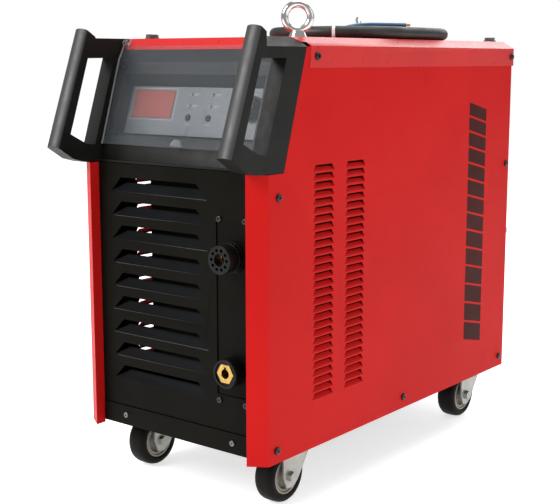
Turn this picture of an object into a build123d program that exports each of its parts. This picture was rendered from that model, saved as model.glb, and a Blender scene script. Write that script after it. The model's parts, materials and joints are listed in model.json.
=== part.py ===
from build123d import *
import math
import os

# A plasma cutter unit: a sheet-metal cabinet on four swivel castors, with a plastic control
# head that carries two grab handles and a clear hinged visor.
#
# The cabinet frame is used for modelling: X to the right, Y to the rear, Z up, with Y = 0 at
# the front bend of the side panels and Z = 0 at their bottom edge.  save() moves every piece
# to the part frame, whose origin is on the floor under the middle of the unit.

# ---- driving dimensions (mm) ---------------------------------------------------------------
SIDE_X = 171.7            # outer face of each side panel
SIDE_LENGTH = 672.4       # flat length of a side panel
SIDE_TOP = 559.0          # top edge of a side panel, under the cover's skirt
SHEET = 1.5               # cabinet sheet thickness
CHAMFER = (25.3, 16.6)    # front corner bend of a side panel, across and forward
PANEL_Y = 1.0             # outer face of the black front panel

COVER_X = 172.7           # outer face of the cover's skirt
COVER_SKIRT = 531.0       # lower edge of the skirt
COVER_SHOULDER = 560.0    # bend between skirt and hip
COVER_TOP = 572.0         # flat top
COVER_HIP = 20.9          # width of the sloping hip
COVER_REAR = 676.7        # rear face of the cover's rear lip
COVER_FRONT = 73.0        # front edge of the flat top

WHEEL_R = 40.0            # castor wheel radius
WHEEL_W = 32.0            # castor wheel width
AXLE_Z = -42.0            # castor axle height in the cabinet frame
CASTOR_X = 126.0          # castors from the middle plane
CASTOR_Y = (116.0, 623.0)  # swivel axes, front and rear
TRAIL = 36.0              # axle ahead of the swivel axis
FLOOR_Z = AXLE_Z - WHEEL_R

BASE_TOP = 27.0           # top of the base pan's floor
BASE_X = 168.2            # half width of the base pan
BASE_LOW = 5.0            # lower edge of the base pan's skirt

LEAN = 18.7               # backward lean of the control face, degrees
FACE_FOOT = (5.0, 422.0)  # Y and Z of the visor's lower edge
CHEEK_IN = 147.5          # inner face of a handle cheek
CHEEK_OUT = 172.0         # outer face of a handle cheek
GRIP_FOOT = (-73.2, 419.6)  # lower and upper end of a grip's front edges, Y and Z
GRIP_HEAD = (-13.0, 584.2)
GRIP_CROWN = 4.0          # bulge of a grip's front between its edges
VISOR_X = 144.4           # half width of the visor
VISOR_EAR = 134.0         # inner edge of the visor's two hinge ears
HINGE = (56.5, 566.0)     # Y and Z of the visor's hinge axis
PIN_R = 2.0               # visor hinge pin radius
FASCIA_DEPTH = 26.0       # control fascia behind the visor's outer face

SOCKET_X = 110.0          # both front sockets from the middle plane
TORCH_Z = 280.5           # torch connector height
EARTH_Z = 123.0           # earth socket height
PLATE_Y = 2.8             # front face of the socket plate

FAN = (-50.0, 190.0)      # fan centre on the rear panel, X and Z
FAN_SIZE = 172.0          # fan frame across flats
FAN_DEPTH = 51.0
GLAND = (-75.0, 364.0)    # mains cable gland on the rear panel, X and Z
SWITCH = (88.0, 440.0)    # mains switch on the rear panel, X and Z
REGULATOR = (104.0, 235.0)  # air filter regulator on the rear panel, X and Z
REAR_OUT = SIDE_LENGTH - SHEET  # outer face of the rear panel

LIFT_X = 137.0            # lifting points from the middle plane
LIFT_Y = (107.0, 655.0)   # lifting points, front and rear
EYE_TURN = (38.0, -52.0)  # turn of the front and rear eye bolt about their shanks, degrees

CABLE_D = 19.0            # mains cable
COIL_MID = (34.0, 412.0)  # middle of the cable coil on the top
COIL_R = 107.0            # centre line radius of its outer turn
COIL_HALF = 51.0          # half length of its straight sides
COIL_TURNS = 3
CORE_R = 2.9              # insulated core of the cable

PART_Y = 324.97           # half way from the grips' lower ends to the regulator's back

CORNER = (Align.MIN, Align.MIN, Align.MIN)
BASE = (Align.CENTER, Align.CENTER, Align.MIN)
FACE = Plane(origin=(0, *FACE_FOOT), x_dir=(1, 0, 0),
             z_dir=(0, -math.cos(math.radians(LEAN)), math.sin(math.radians(LEAN))))

os.makedirs("parts", exist_ok=True)


# ---- helpers -------------------------------------------------------------------------------
def save(name, *solids):
    """Write one node, moved from the cabinet frame to the part frame."""
    shift = Pos(0, -PART_Y, -FLOOR_Z)
    pieces = [shift * piece for solid in solids for piece in solid.solids()]
    whole = pieces[0] if len(pieces) == 1 else Compound(children=pieces)
    whole.label = name
    export_step(whole, f"parts/{name}.step")


def block(x, y, z):
    """Box from three (low, high) pairs."""
    size = (x[1] - x[0], y[1] - y[0], z[1] - z[0])
    return Pos(x[0], y[0], z[0]) * Box(*size, align=CORNER)


def prism_x(points, x):
    """Outline in (Y, Z), extruded along X between a (low, high) pair."""
    face = make_face(Plane.YZ * Polyline(*points, close=True))
    return Pos(x[0], 0, 0) * extrude(face, amount=x[1] - x[0], dir=(1, 0, 0))


def prism_y(points, y):
    """Outline in (X, Z), extruded along Y between a (low, high) pair."""
    face = make_face(Polyline(*[(a, 0, b) for a, b in points], close=True))
    return Pos(0, y[0], 0) * extrude(face, amount=y[1] - y[0], dir=(0, 1, 0))


def prism_z(points, z):
    """Outline in (X, Y), extruded along Z between a (low, high) pair."""
    face = make_face(Polyline(*points, close=True))
    return Pos(0, 0, z[0]) * extrude(face, amount=z[1] - z[0], dir=(0, 0, 1))


def rod_x(radius, x, y, z):
    return Pos(x[0], y, z) * Rot(0, 90, 0) * Cylinder(radius, x[1] - x[0], align=BASE)


def rod_y(radius, x, y, z):
    return Pos(x, y[1], z) * Rot(90, 0, 0) * Cylinder(radius, y[1] - y[0], align=BASE)


def rod_z(radius, x, y, z):
    return Pos(x, y, z[0]) * Cylinder(radius, z[1] - z[0], align=BASE)


def hex_y(flats, x, y, z):
    """Hexagonal bar along Y."""
    return Pos(x, y[1], z) * Rot(90, 0, 0) * extrude(RegularPolygon(flats / 2, 6, major_radius=False),
                                                     amount=y[1] - y[0])


def fold(path, thickness):
    """Outline of a folded sheet: a path and its copy one thickness to the left."""
    unit = []
    for (a, b), (c, d) in zip(path, path[1:]):
        run = math.hypot(c - a, d - b)
        unit.append(((c - a) / run, (d - b) / run))
    inner = []
    for i, (a, b) in enumerate(path):
        before = unit[max(i - 1, 0)]
        after = unit[min(i, len(unit) - 1)]
        left = (-before[1] - after[1], before[0] + after[0])
        scale = thickness / (1 + before[0] * after[0] + before[1] * after[1])
        inner.append((a + left[0] * scale, b + left[1] * scale))
    return path + inner[::-1]


def with_louvres(sheet, places, half, inset, rise, lip_half, lip_rise, depth):
    """Lance a louvre into a sheet at each place: a flap bent inwards about its foot, so the
    gap is open along the top and at both sides.  Half widths of foot, top and lip; heights of
    the gap and of the lip, and the depth of the lip behind the sheet's face."""
    metal = 1.2
    run = math.hypot(lip_rise, depth)
    corners = [(-half, 0), (half, 0), (half - inset, rise), (inset - half, rise)]
    gap = Pos(0, 0, -4) * extrude(make_face(Polyline(*corners, close=True)), amount=8)
    bent = Plane(origin=(0, 0, -0.1), x_dir=(1, 0, 0), z_dir=(0, depth / run, lip_rise / run))
    trapezoid = [(-half, 0), (half, 0), (lip_half, run), (-lip_half, run)]
    flap = bent.location * extrude(make_face(Polyline(*trapezoid, close=True)), amount=-metal)
    return sheet - [place * gap for place in places] + [place * flap for place in places]


def on_face(x, s, depth):
    """Place on the leaning control face: across, up the slope, and behind the visor."""
    return FACE.location * Pos(x, s, -depth)


def face_plate(x, s, depth):
    """Box in the leaning frame of the control face, from (low, high) pairs."""
    return FACE.location * block(x, s, (-depth[1], -depth[0]))


def button_head(radius, height):
    """Button-head screw, head up along +Z with its seat at the origin and a hex recess."""
    head = Cylinder(radius, height, align=BASE)
    head = fillet(head.edges().sort_by(Axis.Z)[-1], height * 0.6)
    recess = extrude(RegularPolygon(radius * 0.34, 6), amount=-height * 0.6)
    shank = Pos(0, 0, -6) * Cylinder(radius * 0.5, 6.0, align=BASE)
    return head - Pos(0, 0, height) * recess + shank


def drilled(places, radius):
    """Clearance holes on the axes of screws or bolts."""
    return [place * Cylinder(radius, 24) for place in places]


# ---- screw places, each with the head along its own +Z ---------------------------------------
SIDE_SCREWS = [(COVER_X, 104.2, 546.3), (COVER_X, 668.4, 546.1), (SIDE_X, 17.0, 18.5),
               (SIDE_X, 657.1, 18.5), (SIDE_X, 20.8, 363.3), (SIDE_X, 661.6, 363.3),
               (SIDE_X, 337.7, 18.5)]
SIDE_PLACES = [Pos(x, y, z) * Rot(0, 90, 0) for x, y, z in SIDE_SCREWS]
SIDE_PLACES += [Pos(-x, y, z) * Rot(0, -90, 0) for x, y, z in SIDE_SCREWS]
REAR_PLACES = [Pos(x, SIDE_LENGTH, z) * Rot(-90, 0, 0) for x in (-160, 160)
               for z in (60, 280, 500)]
PLATE_PLACES = [Pos(x, PANEL_Y, z) * Rot(90, 0, 0)
                for x, z in ((86.0, 330.7), (131.5, 330.7), (84.5, 78.0), (131.5, 78.0))]
BASE_PLACES = [Pos(x, -0.6, 20.5) * Rot(90, 0, 0) for x in (-99.0, 108.0)]
SIDE_HEAD = 5.4           # head radii of the screws; each shank is half as thick
REAR_HEAD = 4.4
PLATE_HEAD = 4.6
SHANK_GAP = 0.15


# ---- cabinet -------------------------------------------------------------------------------
SIDE_LOUVRE = dict(half=25.0, inset=5.5, rise=9.0, lip_half=21.0, lip_rise=5.8, depth=4.6)
SIDE_LOUVRE_Y = (122.4, 199.0)
SIDE_LOUVRE_Z = 69.6
SIDE_LOUVRE_PITCH = 11.49
SIDE_LOUVRES = 29
FRONT_LOUVRE = dict(half=93.0, inset=20.0, rise=20.5, lip_half=70.0, lip_rise=12.5, depth=10.0)
FRONT_LOUVRE_X = -29.0
FRONT_LOUVRE_Z = 75.5
FRONT_LOUVRE_PITCH = 34.85
FRONT_LOUVRES = 9
CHEEK_REAR = ((32.0, 395.0), (85.6, 572.0))


def base_pan():
    floor = block((-BASE_X, BASE_X), (PANEL_Y + 1, SIDE_LENGTH - 5), (BASE_TOP - 2, BASE_TOP))
    front = block((-BASE_X + 23, BASE_X - 23), (-0.6, PANEL_Y + 1), (BASE_LOW, 34.4))
    rear = block((-BASE_X, BASE_X), (SIDE_LENGTH - 5, SIDE_LENGTH - 3.5), (BASE_LOW, BASE_TOP))
    right = block((BASE_X - 2, BASE_X), (PANEL_Y + 1, SIDE_LENGTH - 5), (BASE_LOW, BASE_TOP))
    pan = floor + front + rear + right + mirror(right, about=Plane.YZ)
    pan -= drilled(SIDE_PLACES, SIDE_HEAD / 2 + SHANK_GAP)
    return pan - drilled(BASE_PLACES, REAR_HEAD / 2 + SHANK_GAP)


def front_panel():
    width = BASE_X - 0.4
    sheet = block((-width, width), (PANEL_Y, PANEL_Y + SHEET), (35.3, 395.0))
    fold_in = block((-width, width), (PANEL_Y, PANEL_Y + 14), (393.5, 395.0))
    frame = Plane(origin=(FRONT_LOUVRE_X, PANEL_Y, 0), x_dir=(1, 0, 0), z_dir=(0, -1, 0))
    places = [frame.location * Pos(0, FRONT_LOUVRE_Z + FRONT_LOUVRE_PITCH * i, 0)
              for i in range(FRONT_LOUVRES)]
    sheet = with_louvres(sheet, places, **FRONT_LOUVRE)
    opening = block((80, 137), (0, 5), (86, 326))
    return sheet + fold_in - opening - drilled(PLATE_PLACES, PLATE_HEAD / 2 + SHANK_GAP)


def socket_plate():
    plate = block((72, 145), (PLATE_Y, PLATE_Y + 2.5), (68, 341))
    torch = rod_y(14.0, SOCKET_X, (0, 8), TORCH_Z)
    earth = rod_y(14.0, SOCKET_X, (0, 8), EARTH_Z)
    return plate - torch - earth - drilled(PLATE_PLACES, PLATE_HEAD / 2 + SHANK_GAP)


def right_side_panel():
    x, t = SIDE_X, SHEET
    path = [(x - 18, SIDE_LENGTH), (x, SIDE_LENGTH), (x, 0), (x - CHAMFER[0], -CHAMFER[1]),
            (x - CHAMFER[0], 0.8)]
    panel = prism_z(fold(path[::-1], t), (0, SIDE_TOP))
    (y_low, z_low), (y_top, z_top) = CHEEK_REAR
    notch = [(y_low + 0.6, z_low - 0.4), (y_top + 0.6, z_top), (-100, z_top), (-100, z_low - 0.4)]
    panel -= prism_x(notch, (x - 60, x + 5))
    panel -= drilled(SIDE_PLACES, SIDE_HEAD / 2 + SHANK_GAP)
    panel -= drilled(REAR_PLACES, REAR_HEAD / 2 + SHANK_GAP)
    places = []
    for y in SIDE_LOUVRE_Y:
        frame = Plane(origin=(x, y, 0), x_dir=(0, 1, 0), z_dir=(1, 0, 0))
        places += [frame.location * Pos(0, SIDE_LOUVRE_Z + SIDE_LOUVRE_PITCH * i, 0)
                   for i in range(SIDE_LOUVRES)]
    return with_louvres(panel, places, **SIDE_LOUVRE)


def top_cover():
    x, t = COVER_X, 1.0
    shoulder = x - COVER_HIP
    path = [(-x, COVER_SKIRT), (-x, COVER_SHOULDER), (-shoulder, COVER_TOP),
            (shoulder, COVER_TOP), (x, COVER_SHOULDER), (x, COVER_SKIRT)]
    cover = prism_y(fold(path[::-1], t), (COVER_FRONT - 3, COVER_REAR))
    gap = 0.3
    for side in (-1, 1):
        plan = [(side * (shoulder - gap), 0), (side * (shoulder - gap), COVER_FRONT - 3),
                (side * x, 91), (side * (x + 5), 91), (side * (x + 5), 0)]
        cover -= prism_z(plan, (540, 600))
    skirt_front = [(82, 500), (91, 560), (91, 565), (0, 565), (0, 500)]
    cover -= prism_x(skirt_front, (shoulder + 1, x + 5))
    cover -= prism_x(skirt_front, (-x - 5, -shoulder - 1))
    cover -= block((-shoulder + gap, shoulder - gap), (0, COVER_FRONT), (540, 600))
    nose = fold([(COVER_FRONT + 2, COVER_TOP), (COVER_FRONT, COVER_TOP),
                 (COVER_FRONT - 11, 562), (COVER_FRONT - 11, 556)], 1.2)
    cover += prism_x(nose, (-CHEEK_IN + 0.3, CHEEK_IN - 0.3))
    lip = [(-x, 545), (-x, COVER_SHOULDER), (-shoulder, COVER_TOP), (shoulder, COVER_TOP),
           (x, COVER_SHOULDER), (x, 545)]
    cover += prism_y(lip, (COVER_REAR - 1.2, COVER_REAR))
    cover -= drilled(SIDE_PLACES, SIDE_HEAD / 2 + SHANK_GAP)
    return cover - [rod_z(5.3, sx * LIFT_X, y, (560, 580)) for sx in (-1, 1) for y in LIFT_Y]


def rear_panel():
    panel = block((-BASE_X, BASE_X), (REAR_OUT - SHEET, REAR_OUT), (BASE_TOP + 0.4, 557))
    holes = [rod_y(78.0, FAN[0], (REAR_OUT - 5, REAR_OUT + 5), FAN[1]),
             rod_y(16.1, GLAND[0], (REAR_OUT - 5, REAR_OUT + 5), GLAND[1]),
             rod_y(12.0, SWITCH[0], (REAR_OUT - 5, REAR_OUT + 5), SWITCH[1])]
    panel -= drilled(SIDE_PLACES, SIDE_HEAD / 2 + SHANK_GAP)
    return panel - holes - drilled(REAR_PLACES, REAR_HEAD / 2 + SHANK_GAP)


# ---- control head --------------------------------------------------------------------------
BUTTONS = {"button_left": (-10.0, 50.0), "button_right": (28.0, 50.0)}
LEDS = ((-12.0, 84.0), (-12.0, 67.0), (28.0, 84.0), (28.0, 67.0))
KNOB = (106.0, 65.0)
DISPLAY = ((-121.0, -43.0), (48.0, 89.0))
FACE_SCREWS = ((-140.0, 118.0), (140.0, 118.0), (-140.0, 27.0), (140.0, 27.0))


def tray(half, low, high, front, back):
    """Solid space of the sunken tray: sloping top and bottom, straight sides."""
    outline = [(low[0], -front), (high[0], -front), (high[1], -back), (low[1], -back)]
    section = make_face(Polyline(*[(0, a, b) for a, b in outline], close=True))
    return FACE.location * (Pos(-half, 0, 0) * extrude(section, amount=2 * half, dir=(1, 0, 0)))


def head_frame():
    """Bezel behind the visor, with a sunken tray that holds the control fascia."""
    half = CHEEK_IN - 0.4
    bezel = face_plate((-half, half), (-24, 126), (8, 11))
    foot = prism_x([(2.6, 395.8), (2.6, 398.6), (32, 398.6), (32, 395.8)], (-half, half))
    brow = prism_x(fold([(56.2, 536.5), (66, 554.5), (84, 554.5)], 2.5), (-half, half))
    outer = tray(134, (11, 20), (111, 98), 9, FASCIA_DEPTH + 5)
    inner = tray(131, (14, 23), (108, 95), 7, FASCIA_DEPTH + 6)
    frame = bezel + foot + brow + outer
    frame -= inner
    for x, s in FACE_SCREWS:
        frame += on_face(x, s, 22) * Cylinder(6.5, 14, align=BASE)
        frame -= on_face(x, s, 20) * Cylinder(5.0, 20, align=BASE)
    return frame


def face_screws():
    return [on_face(x, s, 20) * (button_head(3.6, 2.4) & Cylinder(5, 4, align=BASE))
            for x, s in FACE_SCREWS]


def cheek_outline(forward=0.0):
    """Side outline of a handle cheek in (Y, Z), from the lower rear corner, with the grip's
    front edge moved forward."""
    run = math.dist(GRIP_FOOT, GRIP_HEAD)
    out = ((GRIP_FOOT[1] - GRIP_HEAD[1]) / run * forward,
           (GRIP_HEAD[0] - GRIP_FOOT[0]) / run * forward)
    front = [(y + out[0], z + out[1]) for y, z in (GRIP_FOOT, GRIP_HEAD)]
    return [CHEEK_REAR[0], (-24.4, 396.0), (-45.6, 401.4), *front, (1.6, 574.2),
            (2.4, COVER_TOP), CHEEK_REAR[1]]


def crowned_grip():
    """Handle cheek blank, with the front of the grip crowned across its width."""
    half = (CHEEK_OUT - CHEEK_IN) / 2
    radius = (half ** 2 + GRIP_CROWN ** 2) / (2 * GRIP_CROWN)
    blank = prism_x(cheek_outline(GRIP_CROWN), (CHEEK_IN, CHEEK_OUT))
    rise = math.degrees(math.atan2(GRIP_HEAD[0] - GRIP_FOOT[0], GRIP_HEAD[1] - GRIP_FOOT[1]))
    lean = Pos(CHEEK_IN + half, *GRIP_FOOT) * Rot(-rise, 0, 0)
    crown = lean * Pos(0, radius - GRIP_CROWN, 0) * Cylinder(radius, 600)
    behind = lean * Pos(0, 150, 0) * Box(80, 300, 600)
    return blank & (crown + behind)


def grip_edge(cheek, x):
    """The long front edge of the grip on one side."""
    return [edge for edge in cheek.edges() if edge.length > 150
            and abs(edge.center().X - x) < 0.5 and abs(edge.center().Y + 43.1) < 2.5]


def right_cheek():
    """Handle cheek: a thick side plate with a window that leaves a grip bar in front."""
    cheek = crowned_grip()
    cheek = fillet(grip_edge(cheek, CHEEK_IN), 5.0)
    cheek = fillet(grip_edge(cheek, CHEEK_OUT), 3.0)
    window = [(-13.5, 543.6), (37.9, 544.1), (-4.1, 420.3), (-19.9, 421.9), (-50.1, 437.3)]
    cheek -= prism_x(window, (CHEEK_IN - 5, CHEEK_OUT + 5))
    run = COVER_HIP
    slope = (COVER_TOP - 558.7) / run
    hip = [(CHEEK_OUT - run, COVER_TOP), (CHEEK_OUT - run, COVER_TOP + 9),
           (CHEEK_OUT + 9, COVER_TOP + 9), (CHEEK_OUT + 9, 558.7 - 9 * slope)]
    cheek -= prism_y(hip, (-3.0, 100))
    lap = [(COVER_X - run - 9, COVER_FRONT - 4), (COVER_X - run, COVER_FRONT - 4),
           (COVER_X, 90.4), (COVER_X, 110), (COVER_X - run - 9, 110)]
    cheek -= (Pos(0, 0, -1.6) * prism_y(hip, (60, 100))) & prism_z(lap, (530, 590))
    cheek -= block((CHEEK_IN - 1, CHEEK_OUT - run + 1), (COVER_FRONT - 4, 100), (570.4, 575))
    pocket = [(48, 546), (70, 546), (30, 408), (8, 408)]
    cheek -= prism_x(pocket, (CHEEK_IN - 1, CHEEK_OUT - 5))
    return cheek - rod_x(PIN_R + 0.02, (CHEEK_IN - 1, 154.0), *HINGE)


def hinge_pins():
    pin = rod_x(PIN_R, (139.6, 153.6), *HINGE)
    return pin, mirror(pin, about=Plane.YZ)


def visor():
    """Clear visor: a flat sheet with a bent top, hinge ears and a half-round thumb grip."""
    sheet = 3.0
    outline = fold([(59.0, 572.0), (42.9, 542.0), FACE_FOOT], sheet)
    pane = prism_x(outline, (-VISOR_X, VISOR_X))
    grip = on_face(7, 0, 1) * Cylinder(11.0, 7.0, align=BASE)
    grip = fillet(grip.edges().sort_by(Axis.Y)[0], 3.0)
    grip &= face_plate((-20, 20), (0.5, 20), (-10, 5))
    ears = rod_x(4.2, (138.6, VISOR_X), *HINGE)
    ears += mirror(ears, about=Plane.YZ)
    bore = rod_x(PIN_R + 0.05, (138, 146), *HINGE)
    gap = block((-VISOR_EAR, VISOR_EAR), (30, 80), (561.5, 600))
    return pane - gap + grip + ears - bore - mirror(bore, about=Plane.YZ)


def control_fascia():
    plate = face_plate((-130.6, 130.6), (23.4, 94.6), (FASCIA_DEPTH, FASCIA_DEPTH + 2))
    plate -= face_plate(*DISPLAY, (FASCIA_DEPTH - 5, FASCIA_DEPTH + 5))
    for x, s in LEDS:
        plate -= on_face(x, s, FASCIA_DEPTH + 5) * Cylinder(2.6, 10, align=BASE)
    for x, s in BUTTONS.values():
        plate -= on_face(x, s, FASCIA_DEPTH + 5) * Cylinder(4.9, 10, align=BASE)
    return plate - on_face(*KNOB, FASCIA_DEPTH + 5) * Cylinder(4.5, 10, align=BASE)


def display_window():
    (x0, x1), (s0, s1) = DISPLAY
    pane = face_plate((x0 + 0.2, x1 - 0.2), (s0 + 0.2, s1 - 0.2),
                      (FASCIA_DEPTH - 0.8, FASCIA_DEPTH + 2))
    return pane + face_plate((x0 - 2, x1 + 2), (s0 - 2, s1 + 2),
                             (FASCIA_DEPTH + 2, FASCIA_DEPTH + 3))


def status_leds():
    dome = Cylinder(2.5, 5.5, align=BASE) + Pos(0, 0, 5.5) * Sphere(2.5)
    return [on_face(x, s, FASCIA_DEPTH + 5) * dome for x, s in LEDS]


def push_button(name):
    cap = Cylinder(4.6, 5.5, align=BASE)
    cap = fillet(cap.edges().sort_by(Axis.Z)[-1], 1.2)
    return on_face(*BUTTONS[name], FASCIA_DEPTH + 3.5) * (cap + Cylinder(5.6, 1.2, align=BASE))


def encoder_knob():
    """Ribbed knob with a skirt and a blind bore for the encoder shaft."""
    knob = Cylinder(18.0, 3.0, align=BASE) + Pos(0, 0, 3) * Cone(15.5, 14.0, 14.0, align=BASE)
    knob = fillet(knob.edges().sort_by(Axis.Z)[-1], 1.2)
    ribs = [Rot(0, 0, 15 * i) * Pos(16.2, 0, 4.0) * Cylinder(1.3, 16, align=BASE)
            for i in range(24)]
    bore = Pos(0, 0, -1) * Cylinder(3.05, 14.0, align=BASE)
    return on_face(*KNOB, FASCIA_DEPTH - 1.5) * (knob - ribs - bore)


def control_board():
    """Circuit board behind the fascia, with the display, the key switches and the encoder."""
    back = FASCIA_DEPTH + 14
    board = face_plate((-130, 130), (27, 91), (back, back + 1.6))
    (x0, x1), (s0, s1) = DISPLAY
    parts = [face_plate((x0 + 6, x1 - 6), (s0 + 7, s1 - 7), (FASCIA_DEPTH + 5, back))]
    parts += [on_face(*place, back) * block((-3, 3), (-3, 3), (0, 9.2))
              for place in BUTTONS.values()]
    parts += [on_face(x, s, back) * Cylinder(1.5, 8.6, align=BASE) for x, s in LEDS]
    parts += [on_face(*KNOB, back) * block((-7, 7), (-7, 7), (0, 7)),
              on_face(*KNOB, back) * Cylinder(3.5, 13, align=BASE),
              on_face(*KNOB, back) * Cylinder(3.0, 27, align=BASE)]
    parts += [on_face(x, s, back) * Cylinder(2.2, 12, align=BASE)
              for x in (-127.5, 127.5) for s in (31, 87)]
    return board + parts


# ---- front sockets -------------------------------------------------------------------------
def torch_connector_body():
    """Central torch connector: ringed nose with ten pilot holes round a copper bore."""
    x, z = SOCKET_X, TORCH_Z
    body = rod_y(19.5, x, (-28.0, -8.0), z) + rod_y(20.4, x, (-9.6, -7.8), z)
    body += rod_y(17.0, x, (-8.0, -2.0), z)
    body = fillet(body.edges().sort_by(Axis.Y)[0], 1.0)
    lugs = [Pos(x, 0, z) * Rot(0, 36 * i, 0) * block((15, 19.6), (-7.0, -2.5), (-2.6, 2.6))
            for i in range(10)]
    body += lugs
    body += rod_y(20.8, x, (-2.2, PLATE_Y), z)
    body += rod_y(13.8, x, (-3, 34), z)
    body += hex_y(34.0, x, (PLATE_Y + 2.5, 14), z)
    body -= rod_y(8.6, x, (-30, 40), z)
    for i in range(10):
        angle = math.radians(36 * i + 18)
        body -= rod_y(2.3, x + 13.3 * math.sin(angle), (-30, -12), z + 13.3 * math.cos(angle))
    return body


def torch_connector_contact():
    x, z = SOCKET_X, TORCH_Z
    return rod_y(8.5, x, (-17, 44), z) - rod_y(5.5, x, (-30, 20), z)


def earth_socket_body():
    """Insulated barrel of the work-lead socket, with a key slot in its mouth."""
    x, z = SOCKET_X, EARTH_Z
    body = rod_y(20.3, x, (-19.0, PLATE_Y), z) + rod_y(13.8, x, (-3, 12), z)
    body += hex_y(34.0, x, (PLATE_Y + 2.5, 12), z)
    body = chamfer(body.edges().sort_by(Axis.Y)[0], 1.0)
    body -= rod_y(16.6, x, (-30, -16.5), z)
    body -= hex_y(25.4, x, (-30, -4), z) + rod_y(9.1, x, (-10, 20), z)
    return body


def earth_socket_contact():
    """Brass insert with a hexagonal shoulder and a keyed bayonet bore."""
    x, z = SOCKET_X, EARTH_Z
    insert = hex_y(25.2, x, (-17.5, -4), z) + rod_y(9.0, x, (-5, 38), z)
    insert -= rod_y(6.6, x, (-20, 14), z)
    return insert - Pos(x, 0, z) * block((-1.8, 1.8), (-18, -2), (0, 9.2))


def screws(places, radius, height):
    head = button_head(radius, height)
    return [place * head for place in places]


def base_screws():
    """Short plated screws in the base pan's front apron."""
    head = button_head(REAR_HEAD, 2.6) & Pos(0, 0, -2.4) * Cylinder(9.0, 9.0, align=BASE)
    return [place * head for place in BASE_PLACES]


# ---- lifting points ------------------------------------------------------------------------
def eye_bolt(turn):
    """Eye bolt, seat at the origin: ring over a collar and a threaded shank."""
    ring = Pos(0, 0, 26.5) * Rot(90, 0, 0) * Torus(17.5, 5.0)
    collar = Cone(12.5, 9.0, 8.0, align=BASE)
    shank = Pos(0, 0, -15) * Cylinder(5.0, 16, align=BASE)
    return Rot(0, 0, turn) * (ring + collar + shank)


def eye_bolts():
    return (Pos(LIFT_X, LIFT_Y[0], COVER_TOP) * eye_bolt(EYE_TURN[0]),
            Pos(-LIFT_X, LIFT_Y[1], COVER_TOP) * eye_bolt(EYE_TURN[1]))


def lifting_plugs():
    """Hexagon bolts with washers that close the two lifting points not in use."""
    washer = Cylinder(10.5, 2.0, align=BASE)
    head = Pos(0, 0, 2) * extrude(RegularPolygon(8.5, 6, major_radius=False), amount=5.0)
    shank = Pos(0, 0, -12) * Cylinder(5.0, 12, align=BASE)
    plug = washer + chamfer(head.edges().group_by(Axis.Z)[-1], 0.8) + shank
    return (Pos(-LIFT_X, LIFT_Y[0], COVER_TOP) * plug, Pos(LIFT_X, LIFT_Y[1], COVER_TOP) * plug)


# ---- castors -------------------------------------------------------------------------------
CASTORS = {"front_right": (CASTOR_X, CASTOR_Y[0]), "front_left": (-CASTOR_X, CASTOR_Y[0]),
           "rear_right": (CASTOR_X, CASTOR_Y[1]), "rear_left": (-CASTOR_X, CASTOR_Y[1])}


def castor_plate(x, y):
    """Mounting plate under the base pan, with its fixed upper race and king pin."""
    top = BASE_TOP - 2
    plate = block((x - 39, x + 39), (y - 50, y + 43), (top - 3, top))
    plate = fillet(plate.edges().filter_by(Axis.Z), 6.0)
    race = Pos(x, y, 9.0) * Cone(20.0, 27.0, top - 12, align=BASE)
    pin = rod_z(6.0, x, y, (-1.5, top)) + rod_z(9.5, x, y, (-2.5, -0.3))
    holes = [rod_z(4.5, x + a, y + b, (top - 5, top + 1)) for a in (-30, 30) for b in (-41, 34)]
    return plate + race + pin - holes


def castor_fork(x, y):
    """Pressed fork: crown round the king pin and two legs down to the axle."""
    axle_y = y - TRAIL
    crown = rod_z(25.0, x, y, (0.5, 3.5)) + block((x - 22, x + 22), (axle_y - 1, y + 8), (0.5, 3.5))
    crown += rod_z(20.0, x, y, (3.0, 8.4))
    leg = [(axle_y - 1, 3.5), (axle_y - 1, -0.6), (axle_y - 16.5, -5), (axle_y - 17.5, AXLE_Z + 2),
           (axle_y - 10, AXLE_Z - 15), (axle_y + 3, AXLE_Z - 17), (axle_y + 15, AXLE_Z - 9),
           (y + 18, 3.5)]
    plate = prism_x(leg, (x + 19, x + 22))
    fork = crown + plate + prism_x(leg, (x - 22, x - 19))
    fork -= rod_z(6.05, x, y, (-3, 10))
    fork -= rod_z(10.2, x, y, (-3, 0.6))
    return fork - rod_x(5.0, (x - 23, x + 23), axle_y, AXLE_Z)


def castor_axle(x, y):
    """Axle bolt with its head and nut outside the fork legs."""
    axle_y = y - TRAIL
    bolt = rod_x(5.0, (x - 26.5, x + 27), axle_y, AXLE_Z)
    for low in (x - 27.5, x + 22.0):
        nut = Pos(low, axle_y, AXLE_Z) * Rot(0, 90, 0) * extrude(RegularPolygon(8, 6), amount=5.5)
        bolt += nut
    return bolt


def wheel_rim(x, y):
    """Plastic wheel centre with a bore for the axle and webs between hub and band."""
    axle_y = y - TRAIL
    rim = rod_x(27.5, (x - 14, x + 14), axle_y, AXLE_Z)
    for side in (-1, 1):
        band = sorted((x + side * 14.5, x + side * 5))
        rim -= rod_x(23.5, band, axle_y, AXLE_Z) - rod_x(10.0, band, axle_y, AXLE_Z)
    rim += rod_x(9.0, (x - 18.4, x + 18.4), axle_y, AXLE_Z)
    return rim - rod_x(5.05, (x - 20, x + 20), axle_y, AXLE_Z)


def wheel_tyre(x, y):
    axle_y = y - TRAIL
    tyre = rod_x(WHEEL_R, (x - WHEEL_W / 2, x + WHEEL_W / 2), axle_y, AXLE_Z)
    tyre = fillet(tyre.edges(), 6.0)
    return tyre - rod_x(27.5, (x - 20, x + 20), axle_y, AXLE_Z)


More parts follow.
